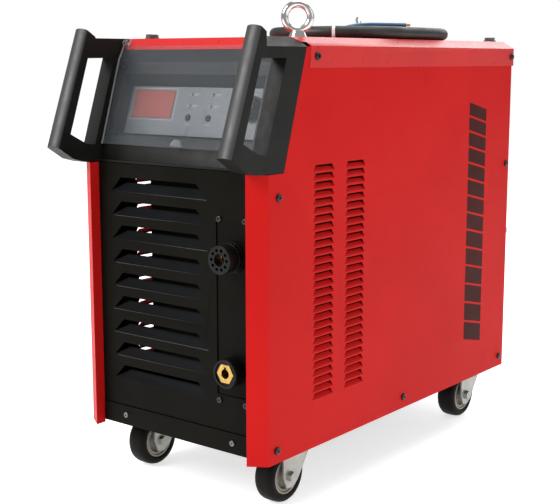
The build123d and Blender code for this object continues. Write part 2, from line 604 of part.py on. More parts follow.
# ---- inside --------------------------------------------------------------------------------
def chassis_divider():
    """Upright plate between the air duct on the left and the electronics on the right, with a
    baffle behind the front louvres."""
    wall = block((40, 41.5), (100, 600), (BASE_TOP, 500))
    foot = block((40, 62), (100, 600), (BASE_TOP, BASE_TOP + 1.5))
    reach = block((40, 41.5), (40, 101), (BASE_TOP, 390))
    baffle = block((-80, 41.5), (40, 41.5), (BASE_TOP, 390))
    return wall + foot + reach + baffle


def heatsink():
    """Finned block on the duct side of the divider."""
    block_x = (28, 40)
    fins = [block((-22, 28), (200, 480), (z, z + 2)) for z in range(304, 473, 8)]
    return block(block_x, (200, 480), (304, 474)) + fins


def inverter_board():
    """Power board on spacers, with its semiconductor modules against the divider."""
    board = block((53.5, 55.5), (190, 490), (290, 480))
    modules = [block((41.5, 53.5), (y, y + 62), (330, 364)) for y in (205, 300, 395)]
    spacers = [rod_x(3.5, (41.5, 53.5), y, z) for y in (200, 480) for z in (300, 470)]
    return board + modules + spacers


def capacitors():
    return [rod_x(17.0, (55.5, 105.5), y, z) for y in (230, 275, 320, 365, 410, 455)
            for z in (415, 455)]


def transformer_core():
    """Closed core of the main transformer on the base pan."""
    core = block((-110, -40), (230, 350), (BASE_TOP, 142))
    window = block((-111, -39), (262, 318), (BASE_TOP + 30, 112))
    return core - window


def transformer_winding():
    """Copper winding round both legs of the core, open through the middle."""
    coil = block((-124, -26), (218, 361.5), (BASE_TOP + 31, 111))
    legs = block((-110.4, -39.6), (229.5, 262.5), (0, 200))
    legs += block((-110.4, -39.6), (317.5, 350.5), (0, 200))
    middle = block((-124, -26), (276, 304), (0, 200))
    return fillet(coil.edges().filter_by(Axis.Z), 8.0) - legs - middle


def solenoid_valve():
    """Gas valve behind the torch connector: body, coil and two hose stubs."""
    valve = block((92, 128), (70, 106), (262, 298))
    valve += block((97, 123), (75, 101), (298, 338))
    valve += rod_y(8.0, SOCKET_X, (50, 70), TORCH_Z) + rod_y(6.0, SOCKET_X, (106, 130), TORCH_Z)
    return valve


def fan_frame():
    x, z = FAN
    half = FAN_SIZE / 2
    back = REAR_OUT - SHEET
    frame = block((x - half, x + half), (back - FAN_DEPTH, back), (z - half, z + half))
    frame = fillet(frame.edges().filter_by(Axis.Y), 20.0)
    frame -= rod_y(79.0, x, (0, 700), z)
    hub = rod_y(30.0, x, (back - 6, back - 1), z)
    spokes = [Pos(x, 0, z) * Rot(0, 90 * i + 45, 0) * block((25, 82), (back - 5, back - 1), (-4, 4))
              for i in range(4)]
    stub = rod_y(4.0, x, (back - 44, back - 5), z)
    return frame + hub + spokes + stub


def fan_rotor():
    """Hub with seven twisted blades."""
    x, z = FAN
    back = REAR_OUT - SHEET
    hub = rod_y(34.0, x, (back - 46, back - 8), z)
    blade = Pos(52, 0, 0) * Rot(38, 0, 0) * Box(44, 40, 2.2)
    trim = rod_y(75.0, 0, (-17, 17), 0)
    blades = [Pos(x, back - 27, z) * Rot(0, 360 / 7 * i, 0) * (blade & trim) for i in range(7)]
    return hub + blades - rod_y(4.05, x, (back - 50, back), z)


def fan_guard():
    """Wire guard outside the rear panel: rings on two crossed bars."""
    x, z = FAN
    rings = [Pos(x, REAR_OUT + 4.0, z) * Rot(90, 0, 0) * Torus(r, 1.3)
             for r in (16, 28, 40, 52, 64, 76)]
    bars = [Pos(x, REAR_OUT + 1.8, z) * Rot(0, turn, 0) * block((-88, 88), (-1.4, 1.4), (-1.4, 1.4))
            for turn in (45, 135)]
    eyes = [Pos(x, REAR_OUT, z) * Rot(0, 45 + 90 * i, 0) * Pos(88, 0, 0) * rod_y(5.5, 0, (0, 3), 0)
            for i in range(4)]
    return rings[0] + rings[1:] + bars + eyes


def regulator_body():
    """Compressed-air pressure regulator on the rear panel, with its inlet stub."""
    x, z = REGULATOR
    y = REAR_OUT
    body = block((x - 22, x + 22), (y + 12, y + 56), (z - 20, z + 24))
    body = fillet(body.edges().filter_by(Axis.Z), 5.0)
    body += rod_z(17.0, x, y + 34, (z + 24, z + 40)) + rod_z(5.0, x, y + 34, (z + 40, z + 58))
    body += rod_z(19.0, x, y + 34, (z - 28, z - 20))
    body += block((x - 14, x + 14), (y, y + 12), (z - 14, z + 14))
    inlet = rod_x(9.0, (x + 22, x + 34), y + 34, z + 4) + rod_x(5.5, (x + 34, x + 52), y + 34, z + 4)
    return body + inlet


def regulator_knob():
    x, z = REGULATOR
    knob = rod_z(18.0, x, REAR_OUT + 34, (z + 40.4, z + 62))
    knob = fillet(knob.edges().sort_by(Axis.Z)[-1], 2.0)
    ribs = [Pos(x, REAR_OUT + 34, z + 44) * Rot(0, 0, 20 * i) * Pos(18.2, 0, 0)
            * Cylinder(1.2, 20, align=BASE) for i in range(18)]
    return knob - ribs - rod_z(5.05, x, REAR_OUT + 34, (z + 30, z + 58.5))


def filter_bowl():
    """Clear water bowl under the regulator, with a drain nipple."""
    x, z = REGULATOR
    y = REAR_OUT + 34
    bowl = rod_z(18.0, x, y, (z - 84, z - 28))
    bowl = fillet(bowl.edges().sort_by(Axis.Z)[0], 8.0)
    bowl -= rod_z(15.5, x, y, (z - 78, z - 20))
    return bowl + rod_z(5.0, x, y, (z - 94, z - 83))


def mains_switch_body():
    """Rotary mains switch: square plate outside the rear panel and contact block inside."""
    x, z = SWITCH
    y = REAR_OUT
    body = block((x - 30, x + 30), (y, y + 6), (z - 30, z + 30))
    body = fillet(body.edges().filter_by(Axis.Y), 5.0)
    body += rod_y(22.0, x, (y + 5, y + 11), z) + rod_y(11.7, x, (y - 4, y + 1), z)
    body += block((x - 24, x + 24), (y - 54, y - 3), (z - 24, z + 24))
    return body + rod_y(4.0, x, (y + 10, y + 30), z)


def mains_switch_knob():
    x, z = SWITCH
    y = REAR_OUT
    knob = rod_y(19.0, x, (y + 11.4, y + 18), z)
    grip = block((x - 5, x + 5), (y + 17, y + 34), (z - 19, z + 19))
    knob += fillet(grip.edges().filter_by(Axis.Y), 4.0)
    return knob - rod_y(4.05, x, (y + 5, y + 30.5), z)


# ---- mains cable ---------------------------------------------------------------------------
def cable_gland():
    """Screwed gland: flange, dome nut and tapered sleeve round the cable."""
    x, z = GLAND
    y = REAR_OUT
    gland = hex_y(36.0, x, (y, y + 7), z) + rod_y(16.0, x, (y - 12, y + 1), z)
    gland += hex_y(36.0, x, (y - 8, y - 3), z)
    gland += rod_y(17.0, x, (y + 7, y + 18), z)
    taper = Pos(x, y + 18, z) * Rot(-90, 0, 0) * Cone(15.0, 11.2, 30.0, align=BASE)
    return gland + taper - rod_y(CABLE_D / 2 + 0.2, x, (y - 20, y + 50), z)


CABLE_Z = COVER_TOP + CABLE_D / 2 + 0.3
COIL_LEFT = COIL_MID[0] - COIL_R
COIL_JOIN = 556.0         # the lead lies down on the coil's tangent here

CABLE_ROUTE = [
    (-75.0, 694.0, 364.0),
    (-75.0, 734.0, 364.0),
    (-75.6, 771.6, 377.6),
    (-76.8, 802.2, 403.4),
    (-78.0, 822.4, 438.0),
    (-79.0, 829.4, 477.6),
    (-79.4, 822.6, 517.0),
    (-79.0, 802.4, 551.4),
    (-78.0, 771.6, 577.0),
    (-76.6, 733.0, 590.4),
    (-75.2, 690.0, 592.2),
    (-74.0, 648.0, 587.4),
    (COIL_LEFT, 603.0, CABLE_Z),
    (COIL_LEFT, COIL_JOIN, CABLE_Z),
]


def cable_tube():
    """Free stretch of the mains cable, from the gland over the rear edge to the coil."""
    points = [Vector(*point) for point in CABLE_ROUTE]
    radii = []
    for before, here, after in zip(points, points[1:], points[2:]):
        turn = (here - before).get_angle(after - here)
        run = min((here - before).length, (after - here).length)
        radii.append(0.45 * run / math.tan(math.radians(turn / 2)))
    path = FilletPolyline(*points, radius=radii)
    start = Plane(origin=points[0], z_dir=points[1] - points[0])
    tube = sweep(start * Circle(CABLE_D / 2), path=path)
    section = math.pi * CABLE_D ** 2 / 4
    print("cable radii", [round(r) for r in radii], "length", round(path.length),
          "volume ratio", round(tube.volume / (section * path.length), 4))
    return tube


def cable_coil():
    """Outer shape of the flat coil, with a stub along the tangent where the lead joins it."""
    low, high = COVER_TOP + 0.3, COVER_TOP + 0.3 + CABLE_D
    edge = 2 * COIL_R + CABLE_D
    ring = SlotCenterToCenter(2 * COIL_HALF, edge, rotation=90)
    ring -= SlotCenterToCenter(2 * COIL_HALF, edge - 2 * COIL_TURNS * CABLE_D, rotation=90)
    coil = Pos(*COIL_MID, low) * extrude(ring, amount=CABLE_D)
    half = CABLE_D / 2
    return coil + block((COIL_LEFT - half, COIL_LEFT + half), (COIL_MID[1], COIL_JOIN), (low, high))


def bent_wire(points, radius):
    path = FilletPolyline(*points, radius=14.0)
    return sweep(Plane(origin=path @ 0, z_dir=path % 0) * Circle(radius), path=path)


def cable_cores():
    """Bared cores: one lies across the turns, the others rest inside the coil."""
    top = COVER_TOP + 0.6 + CABLE_D + CORE_R
    low = COVER_TOP + 0.4 + CORE_R
    inside = COIL_MID[0] + COIL_R + CABLE_D / 2 - COIL_TURNS * CABLE_D
    cores = [bent_wire([(80, 318, top), (110, 344, top), (135, 384, top)], CORE_R)]
    for y, side in ((395, 64), (410, 74), (425, 82)):
        cores.append(bent_wire([(inside - 4.2, y - 30, low), (side, y, low),
                                (side - 2, y + 44, low)], CORE_R))
    return cores


# ---- write the nodes -----------------------------------------------------------------------
def write_cabinet():
    right = right_side_panel()
    save("base_pan", base_pan())
    save("front_panel", front_panel())
    save("socket_plate", socket_plate())
    save("right_side_panel", right)
    save("left_side_panel", mirror(right, about=Plane.YZ))
    save("top_cover", top_cover())
    save("rear_panel", rear_panel())
    save("side_screws", *screws(SIDE_PLACES, SIDE_HEAD, 3.3))
    save("plated_screws", *screws(REAR_PLACES, REAR_HEAD, 2.6), *base_screws())
    save("panel_screws", *screws(PLATE_PLACES, PLATE_HEAD, 2.8), *face_screws())
    save("eye_bolts", *eye_bolts())
    save("lifting_plugs", *lifting_plugs())


def write_head():
    cheek = right_cheek()
    save("right_handle_cheek", cheek)
    save("left_handle_cheek", mirror(cheek, about=Plane.YZ))
    save("head_frame", head_frame())
    save("control_fascia", control_fascia())
    save("display_window", display_window())
    save("status_leds", *status_leds())
    for name in BUTTONS:
        save(name, push_button(name))
    save("encoder_knob", encoder_knob())
    save("control_board", control_board())
    save("visor", visor())
    save("visor_hinge_pins", *hinge_pins())


def write_sockets():
    save("torch_connector_body", torch_connector_body())
    save("torch_connector_contact", torch_connector_contact())
    save("earth_socket_body", earth_socket_body())
    save("earth_socket_contact", earth_socket_contact())


def write_castors():
    save("castor_plates", *[castor_plate(*place) for place in CASTORS.values()])
    for name, place in CASTORS.items():
        save(f"castor_fork_{name}", castor_fork(*place), castor_axle(*place))
        save(f"wheel_rim_{name}", wheel_rim(*place))
        save(f"wheel_tyre_{name}", wheel_tyre(*place))


def write_inside():
    save("chassis_divider", chassis_divider())
    save("heatsink", heatsink())
    save("inverter_board", inverter_board())
    save("capacitors", *capacitors())
    save("transformer_core", transformer_core())
    save("transformer_winding", transformer_winding())
    save("solenoid_valve", solenoid_valve())
    save("fan_frame", fan_frame())
    save("fan_rotor", fan_rotor())
    save("fan_guard", fan_guard())
    save("regulator_body", regulator_body())
    save("regulator_knob", regulator_knob())
    save("filter_bowl", filter_bowl())
    save("mains_switch_body", mains_switch_body())
    save("mains_switch_knob", mains_switch_knob())


def write_cable():
    save("cable_gland", cable_gland())
    save("mains_cable_lead", cable_tube())
    save("mains_cable_coil", cable_coil())
    save("cable_cores", *cable_cores())


write_cabinet()
write_head()
write_sockets()
write_castors()
write_inside()
write_cable()
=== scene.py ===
import json
import math

import bmesh
import bpy
from mathutils import Matrix, Vector


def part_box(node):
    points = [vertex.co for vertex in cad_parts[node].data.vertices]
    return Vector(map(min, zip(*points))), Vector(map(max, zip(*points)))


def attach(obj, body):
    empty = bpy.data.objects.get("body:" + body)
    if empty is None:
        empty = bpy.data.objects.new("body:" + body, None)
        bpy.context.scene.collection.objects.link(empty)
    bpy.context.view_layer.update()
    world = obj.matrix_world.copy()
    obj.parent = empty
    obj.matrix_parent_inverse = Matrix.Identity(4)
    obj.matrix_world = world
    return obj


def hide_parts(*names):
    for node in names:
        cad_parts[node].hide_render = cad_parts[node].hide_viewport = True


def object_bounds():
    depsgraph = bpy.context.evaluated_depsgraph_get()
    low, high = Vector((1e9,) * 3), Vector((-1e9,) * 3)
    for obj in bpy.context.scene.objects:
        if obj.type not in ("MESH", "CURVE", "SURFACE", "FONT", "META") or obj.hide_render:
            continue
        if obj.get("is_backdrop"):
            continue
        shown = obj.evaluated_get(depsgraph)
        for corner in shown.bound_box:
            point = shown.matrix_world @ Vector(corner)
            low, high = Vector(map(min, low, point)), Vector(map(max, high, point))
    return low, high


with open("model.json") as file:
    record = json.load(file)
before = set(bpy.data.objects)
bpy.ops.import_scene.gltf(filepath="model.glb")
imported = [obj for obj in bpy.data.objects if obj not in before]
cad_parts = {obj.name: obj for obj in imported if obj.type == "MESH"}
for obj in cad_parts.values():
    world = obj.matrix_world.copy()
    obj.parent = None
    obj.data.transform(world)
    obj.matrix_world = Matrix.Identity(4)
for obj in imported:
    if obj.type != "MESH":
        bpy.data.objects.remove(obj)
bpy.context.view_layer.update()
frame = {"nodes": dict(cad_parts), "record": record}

ROOT = "cabinet"
CORNERS = ("front_right", "front_left", "rear_right", "rear_left")
NODES = frame["nodes"]
BODY_OF = {node: body for body, nodes in frame["record"]["behaviour"]["bodies"].items()
           for node in nodes}
SLOT_OF = {entry["node"]: entry["material_slot"] for entry in frame["record"]["subparts"]}

# where the part frame's origin lies in the cabinet frame, mm
MIDDLE_Y = 324.97
FLOOR_Z = -82.0


def at(x, y, z):
    """Point of the cabinet frame, in mm, as a point of the part frame, in metres."""
    return Vector((x, y - MIDDLE_Y, z - FLOOR_Z)) / 1000.0


# ---- camera --------------------------------------------------------------------------------
cam_data = bpy.data.cameras.new("camera")
cam_data.sensor_width = 36.0
cam_data.lens = 73.13
cam = bpy.data.objects.new("camera", cam_data)
bpy.context.scene.collection.objects.link(cam)
cam.location = at(1086.2, -1141.3, 542.3)
cam.rotation_euler = (math.radians(90 - 9.62), math.radians(0.0), math.radians(38.12))
bpy.context.scene.camera = cam


# ---- small helpers ---------------------------------------------------------------------------
def link(obj, body=ROOT, stands_for=()):
    """Register a new piece: its body and the CAD nodes it stands for."""
    if obj.name not in bpy.context.scene.collection.objects:
        bpy.context.scene.collection.objects.link(obj)
    if stands_for:
        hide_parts(*stands_for)
    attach(obj, body)
    return obj


def mesh_piece(name, bm, material, smooth=35.0):
    mesh = bpy.data.meshes.new(name)
    bmesh.ops.recalc_face_normals(bm, faces=bm.faces[:])
    bm.to_mesh(mesh)
    bm.free()
    mesh.materials.append(material)
    for poly in mesh.polygons:
        poly.use_smooth = True
    mesh.set_sharp_from_angle(angle=math.radians(smooth))
    return bpy.data.objects.new(name, mesh)


def add_bevel(obj, width, segments=2, angle=30.0):
    mod = obj.modifiers.new("bevel", "BEVEL")
    mod.width = width
    mod.segments = segments
    mod.limit_method = "ANGLE"
    mod.angle_limit = math.radians(angle)
    mod.use_clamp_overlap = True
    mod.harden_normals = True
    return obj


def copy_node(node, material, bevel=None, segments=2, dissolve=0.4, name=None):
    """A finished piece with a CAD node's shape, its facets merged and its edges eased."""
    bm = bmesh.new()
    bm.from_mesh(NODES[node].data)
    bmesh.ops.remove_doubles(bm, verts=bm.verts[:], dist=2e-6)
    bmesh.ops.dissolve_limit(bm, angle_limit=math.radians(dissolve), verts=bm.verts[:],
                             edges=bm.edges[:])
    obj = mesh_piece(name or node + "_finish", bm, material, smooth=28.0)
    if bevel:
        add_bevel(obj, bevel, segments)
    return link(obj, BODY_OF[node], (node,))


def lathe_bm(bm, profile, matrix, steps=72, closed=True):
    """Revolve (radius, height) points, in mm, about local Z and place them with a matrix."""
    rings = []
    for radius, height in profile:
        if radius < 1e-6:
            rings.append([bm.verts.new(matrix @ Vector((0, 0, height / 1000)))])
            continue
        ring = []
        for i in range(steps):
            turn = 2 * math.pi * i / steps
            point = Vector((radius * math.cos(turn), radius * math.sin(turn), height)) / 1000
            ring.append(bm.verts.new(matrix @ point))
        rings.append(ring)
    pairs = list(zip(rings, rings[1:]))
    if closed:
        pairs.append((rings[-1], rings[0]))
    for one, two in pairs:
        for i in range(steps):
            j = (i + 1) % steps
            corners = [one[i % len(one)], one[j % len(one)], two[j % len(two)],
                       two[i % len(two)]]
            corners = list(dict.fromkeys(corners))
            if len(corners) > 2:
                bm.faces.new(corners)


def axes(origin, z_dir, x_dir=(1, 0, 0)):
    """Matrix of a local frame at a point of the part frame."""
    z = Vector(z_dir).normalized()
    y = z.cross(Vector(x_dir)).normalized()
    x = y.cross(z)
    turn = Matrix((x, y, z)).transposed().to_4x4()
    return Matrix.Translation(origin) @ turn


# ---- materials ---------------------------------------------------------------------------------
def new_material(name):
    mat = bpy.data.materials.new(name)
    mat.use_nodes = True
    tree = mat.node_tree
    return mat, tree, tree.nodes["Principled BSDF"]


def noise(tree, scale, detail=2.0, rough=0.5, stretch=(1, 1, 1)):
    coord = tree.nodes.new("ShaderNodeTexCoord")
    mapping = tree.nodes.new("ShaderNodeMapping")
    mapping.inputs["Scale"].default_value = stretch
    node = tree.nodes.new("ShaderNodeTexNoise")
    node.inputs["Scale"].default_value = scale
    node.inputs["Detail"].default_value = detail
    node.inputs["Roughness"].default_value = rough
    tree.links.new(coord.outputs["Object"], mapping.inputs["Vector"])
    tree.links.new(mapping.outputs["Vector"], node.inputs["Vector"])
    return node


def spread(tree, socket, low, high):
    """Map a 0.3 to 0.7 noise value onto a range."""
    node = tree.nodes.new("ShaderNodeMapRange")
    node.inputs["From Min"].default_value = 0.3
    node.inputs["From Max"].default_value = 0.7
    node.inputs["To Min"].default_value = low
    node.inputs["To Max"].default_value = high
    tree.links.new(socket, node.inputs["Value"])
    return node.outputs["Result"]


def mottle(tree, shader, dark, light, scale, stretch=(1, 1, 1)):
    """Base colour that drifts between two tones."""
    tone = noise(tree, scale, 3.0, 0.6, stretch)
    ramp = tree.nodes.new("ShaderNodeValToRGB")
    ramp.color_ramp.elements[0].position = 0.32
    ramp.color_ramp.elements[0].color = (*dark, 1)
    ramp.color_ramp.elements[1].position = 0.68
    ramp.color_ramp.elements[1].color = (*light, 1)
    tree.links.new(tone.outputs["Fac"], ramp.inputs["Fac"])
    tree.links.new(ramp.outputs["Color"], shader.inputs["Base Color"])


def grain(tree, shader, scale, strength, distance, detail=3.0, stretch=(1, 1, 1)):
    """Fine surface relief."""
    height = noise(tree, scale, detail, 0.55, stretch)
    bump = tree.nodes.new("ShaderNodeBump")
    bump.inputs["Strength"].default_value = strength
    bump.inputs["Distance"].default_value = distance
    tree.links.new(height.outputs["Fac"], bump.inputs["Height"])
    tree.links.new(bump.outputs["Normal"], shader.inputs["Normal"])


def finish(name, dark, light, rough, metal=0.0, tone=9.0, relief=(900.0, 0.1, 0.0002),
           coat=0.0, spec=0.5, stretch=(1, 1, 1), wear=60.0):
    """General surface: two-tone colour, uneven roughness and a fine relief."""
    mat, tree, shader = new_material(name)
    mottle(tree, shader, dark, light, tone, stretch)
    patch = noise(tree, wear, 4.0, 0.6, stretch)
    tree.links.new(spread(tree, patch.outputs["Fac"], rough[0], rough[1]),
                   shader.inputs["Roughness"])
    grain(tree, shader, *relief, stretch=stretch)
    shader.inputs["Metallic"].default_value = metal
    shader.inputs["Coat Weight"].default_value = coat
    shader.inputs["Coat Roughness"].default_value = 0.12
    shader.inputs["Specular IOR Level"].default_value = spec
    return mat


RED = finish("red_powder_coat", (0.50, 0.009, 0.008), (0.56, 0.012, 0.011), (0.36, 0.46),
             tone=5.0, relief=(750.0, 0.10, 0.0003), spec=0.05)
# the top cover's red: a lighter, glossier copy of the side red, giving a painted highlight along
# its hip
RED_TOP_PAINTED_SHEEN = finish("red_powder_coat_top_painted_sheen", (0.52, 0.009, 0.008), (0.60, 0.012, 0.011), (0.26, 0.34),
                 tone=5.0, relief=(750.0, 0.08, 0.0003), spec=0.50)
BLACK_COAT = finish("black_powder_coat", (0.0040, 0.0037, 0.0026), (0.0062, 0.0057, 0.0042),
                    (0.34, 0.46), relief=(700.0, 0.12, 0.0003), spec=0.035)
# lighter, bluer copy of the black coat for the louvre flaps: painted light from above
FLAP_PAINTED_LIGHT = finish("black_coat_flap_painted_light", (0.0062, 0.0066, 0.0072), (0.0088, 0.0094, 0.0102), (0.34, 0.46),
              relief=(700.0, 0.12, 0.0003), spec=0.06)
# much lighter black for the eased sill edge below each louvre flap: a painted highlight line
FOLD_PAINTED_HIGHLIGHT = finish("black_coat_fold_painted_highlight", (0.045, 0.044, 0.040), (0.062, 0.060, 0.055), (0.30, 0.40),
              relief=(700.0, 0.10, 0.0003), spec=0.20)
# near-black for the inner faces of the side panels: painted shade inside the cabinet, whose panels
# are red inside
PAINTED_SHADE_INSIDE = finish("painted_shade_inside", (0.0025, 0.0020, 0.0018), (0.0045, 0.0035, 0.0030), (0.60, 0.75),
                spec=0.10)
BLACK_PLASTIC = finish("black_moulded_plastic", (0.006, 0.006, 0.0055), (0.010, 0.010, 0.009),
                       (0.38, 0.50), relief=(1500.0, 0.06, 0.0002), tone=14.0, spec=0.16)
# lighter, glossier black for the grips' crowned fronts: painted sheen
GRIP_PAINTED_SHEEN = finish("grip_painted_sheen", (0.026, 0.027, 0.026), (0.036, 0.037, 0.036), (0.40, 0.52),
              relief=(1500.0, 0.16, 0.0002), tone=14.0, spec=0.50)
BLACK_GLOSS = finish("black_socket_plastic", (0.004, 0.004, 0.004), (0.008, 0.008, 0.0075),
                     (0.26, 0.38), relief=(900.0, 0.06, 0.0002), spec=0.14)
FASCIA = finish("fascia_film", (0.135, 0.148, 0.160), (0.160, 0.172, 0.184), (0.24, 0.36),
                relief=(1800.0, 0.08, 0.0001), spec=0.35)
INK = finish("pale_ink", (0.32, 0.34, 0.35), (0.40, 0.42, 0.43), (0.40, 0.55))
DISPLAY_RED = finish("display_filter", (0.30, 0.075, 0.058), (0.37, 0.095, 0.075),
                     (0.12, 0.20))
LED_GREY = finish("led_lens", (0.30, 0.31, 0.31), (0.42, 0.43, 0.43), (0.15, 0.25))
ZINC = finish("zinc_plate", (0.50, 0.51, 0.50), (0.66, 0.67, 0.65), (0.26, 0.44), metal=0.9,
              tone=40.0, relief=(500.0, 0.08, 0.0002))
# darker copy of the zinc plate for the castors and their plates: painted shade under the cabinet
CASTOR_ZINC_SHADED = finish("castor_zinc_painted_shade", (0.32, 0.32, 0.30), (0.44, 0.44, 0.41), (0.30, 0.46),
                     metal=0.85, tone=60.0, relief=(500.0, 0.08, 0.0002))
POLISHED = finish("plated_eye", (0.66, 0.65, 0.63), (0.78, 0.77, 0.75), (0.10, 0.20), metal=1.0,
                  tone=60.0, relief=(300.0, 0.08, 0.0003))
BLACK_STEEL = finish("blackened_screw", (0.006, 0.0055, 0.005), (0.014, 0.013, 0.012),
                     (0.20, 0.32), metal=0.2, tone=300.0, spec=0.5)
PLUG_STEEL = finish("plug_steel", (0.12, 0.115, 0.11), (0.20, 0.19, 0.18), (0.28, 0.42),
                    metal=0.9, tone=120.0)
BRASS = finish("brass", (0.40, 0.25, 0.07), (0.58, 0.38, 0.12), (0.20, 0.34), metal=1.0,
               tone=120.0, relief=(900.0, 0.05, 0.0002))
COPPER = finish("copper", (0.56, 0.27, 0.15), (0.76, 0.42, 0.26), (0.18, 0.34), metal=1.0,
                tone=150.0, relief=(1200.0, 0.08, 0.0002))
TYRE = finish("tyre_rubber", (0.004, 0.0035, 0.0025), (0.007, 0.006, 0.0045), (0.46, 0.60),
              relief=(900.0, 0.22, 0.0004), tone=25.0, spec=0.10)
RIM = finish("rim_plastic", (0.24, 0.215, 0.18), (0.33, 0.30, 0.255), (0.38, 0.52),
             relief=(800.0, 0.08, 0.0002), tone=45.0)
CABLE = finish("cable_rubber", (0.014, 0.014, 0.013), (0.024, 0.023, 0.022), (0.38, 0.55),
               relief=(650.0, 0.25, 0.0005), tone=30.0)
NYLON = finish("nylon_tie", (0.70, 0.70, 0.68), (0.82, 0.82, 0.80), (0.30, 0.42))
BLUE = finish("blue_core", (0.030, 0.13, 0.26), (0.045, 0.18, 0.33), (0.30, 0.42))
BROWN = finish("brown_core", (0.10, 0.035, 0.012), (0.14, 0.05, 0.02), (0.30, 0.42))
GREEN = finish("green_core", (0.06, 0.20, 0.02), (0.42, 0.40, 0.02), (0.30, 0.42), tone=120.0)
GREY = finish("grey_core", (0.16, 0.16, 0.16), (0.22, 0.22, 0.22), (0.30, 0.42))
GRAPHIC = finish("dark_graphic", (0.045, 0.008, 0.006), (0.060, 0.012, 0.010), (0.40, 0.52),
                 spec=0.05)
BOARD = finish("circuit_board", (0.010, 0.070, 0.030), (0.020, 0.110, 0.045), (0.30, 0.45),
               tone=200.0, relief=(600.0, 0.3, 0.0005))
ALUMINIUM = finish("aluminium", (0.55, 0.56, 0.57), (0.68, 0.69, 0.70), (0.30, 0.44), metal=1.0,
                   tone=80.0, stretch=(1, 12, 1))
CORE_STEEL = finish("core_steel", (0.12, 0.12, 0.12), (0.20, 0.20, 0.21), (0.45, 0.60),
                    metal=0.7, relief=(60.0, 0.4, 0.001), stretch=(1, 40, 1))
SLEEVE = finish("capacitor_sleeve", (0.010, 0.016, 0.060), (0.018, 0.026, 0.085), (0.22, 0.34))


def clear_material(name, colour, alpha, rough):
    """Clear sheet: seen through by its alpha, with a hazy uneven surface."""
    mat, tree, shader = new_material(name)
    mottle(tree, shader, tuple(0.82 * c for c in colour), colour, 12.0)
    haze = noise(tree, 6.0, 4.0, 0.6)
    tree.links.new(spread(tree, haze.outputs["Fac"], alpha * 0.85, alpha * 1.15),
                   shader.inputs["Alpha"])
    scuff = noise(tree, 14.0, 1.0, 0.5)
    tree.links.new(spread(tree, scuff.outputs["Fac"], rough, rough * 1.6),
                   shader.inputs["Roughness"])
    grain(tree, shader, 16.0, 0.03, 0.0003, detail=1.0)
    shader.inputs["Specular IOR Level"].default_value = 0.4
    return mat


VISOR = clear_material("visor_clear", (0.29, 0.32, 0.35), 0.09, 0.15)
# paler, less clear copies of the visor for its narrow edges and thumb tab: painted highlights
VISOR_EDGE_HIGHLIGHT = clear_material("visor_edge_painted_highlight", (0.70, 0.73, 0.75), 0.40, 0.12)
VISOR_TAB_HIGHLIGHT = clear_material("visor_tab_painted_highlight", (0.55, 0.58, 0.60), 0.22, 0.10)
BOWL = clear_material("bowl_clear", (0.60, 0.66, 0.70), 0.35, 0.08)

MATERIAL_OF_SLOT = {
    "red_paint": RED, "black_paint": BLACK_COAT, "black_plastic": BLACK_PLASTIC,
    "dark_gloss": FASCIA, "display": DISPLAY_RED, "led_lens": LED_GREY, "clear": BOWL,
    "zinc": ZINC, "black_screw": BLACK_STEEL, "brass": BRASS, "copper": COPPER,
    "tyre": TYRE, "rim": RIM, "circuit_board": BOARD, "aluminium": ALUMINIUM,
    "core_steel": CORE_STEEL, "capacitor_sleeve": SLEEVE, "cable_rubber": CABLE,
    "core_insulation": BLUE,
}
SPECIAL = {"torch_connector_body": BLACK_GLOSS, "earth_socket_body": BLACK_GLOSS,
           "eye_bolts": POLISHED, "lifting_plugs": PLUG_STEEL, "side_screws": BLACK_STEEL,
           "castor_plates": CASTOR_ZINC_SHADED, "plated_screws": PLUG_STEEL, "top_cover": RED_TOP_PAINTED_SHEEN,
           "visor_hinge_pins": BLACK_STEEL}
for corner in CORNERS:
    SPECIAL["castor_fork_" + corner] = CASTOR_ZINC_SHADED


def node_material(node):
    return SPECIAL.get(node, MATERIAL_OF_SLOT[SLOT_OF[node]])


# ---- mains cable -----------------------------------------------------------------------------
CABLE_R = 9.5
TOP = 572.0
CABLE_Z = TOP + CABLE_R + 0.3
COIL_X, COIL_Y = 34.0, 412.0
COIL_R, COIL_HALF = 107.0, 51.0
LEAD = [(-75, 694, 364), (-75, 734, 364), (-75.6, 771.6, 377.6), (-76.8, 802.2, 403.4),
        (-78, 822.4, 438), (-79, 829.4, 477.6), (-79.4, 822.6, 517), (-79, 802.4, 551.4),
        (-78, 771.6, 577), (-76.6, 733, 590.4), (-75.2, 690, 592.2), (-74, 648, 587.4),
        (-73, 603, 582.2), (-73, 556, CABLE_Z), (-73, 508, CABLE_Z)]


def coil_points():
    """Control points of the flat coil: straight sides, a full-size near bend, and a far bend in
    which each turn steps inwards by one cable diameter."""
    points = []
    hull = 1 / (0.75 + 0.25 * math.cos(math.pi / 8))
    radius = COIL_R
    near_y, far_y = COIL_Y - COIL_HALF, COIL_Y + COIL_HALF
    for turn in range(3):
        points += [(COIL_X - radius, COIL_Y + 18), (COIL_X - radius, COIL_Y - 22)]
        stop = 8 if turn < 2 else 4
        for i in range(stop):
            angle = math.pi + math.pi * (i + 0.5) / 8
            points.append((COIL_X + hull * radius * math.cos(angle),
                           near_y + hull * radius * math.sin(angle)))
        if turn == 2:
            break
        points += [(COIL_X + radius, COIL_Y - 22), (COIL_X + radius, COIL_Y + 22)]
        for i in range(8):
            angle = math.pi * (i + 0.5) / 8
            step = radius - 2 * CABLE_R * (i + 0.5) / 8
            points.append((COIL_X + hull * step * math.cos(angle),
                           far_y + hull * step * math.sin(angle)))
        radius -= 2 * CABLE_R
    return [(x, y, CABLE_Z) for x, y in points]


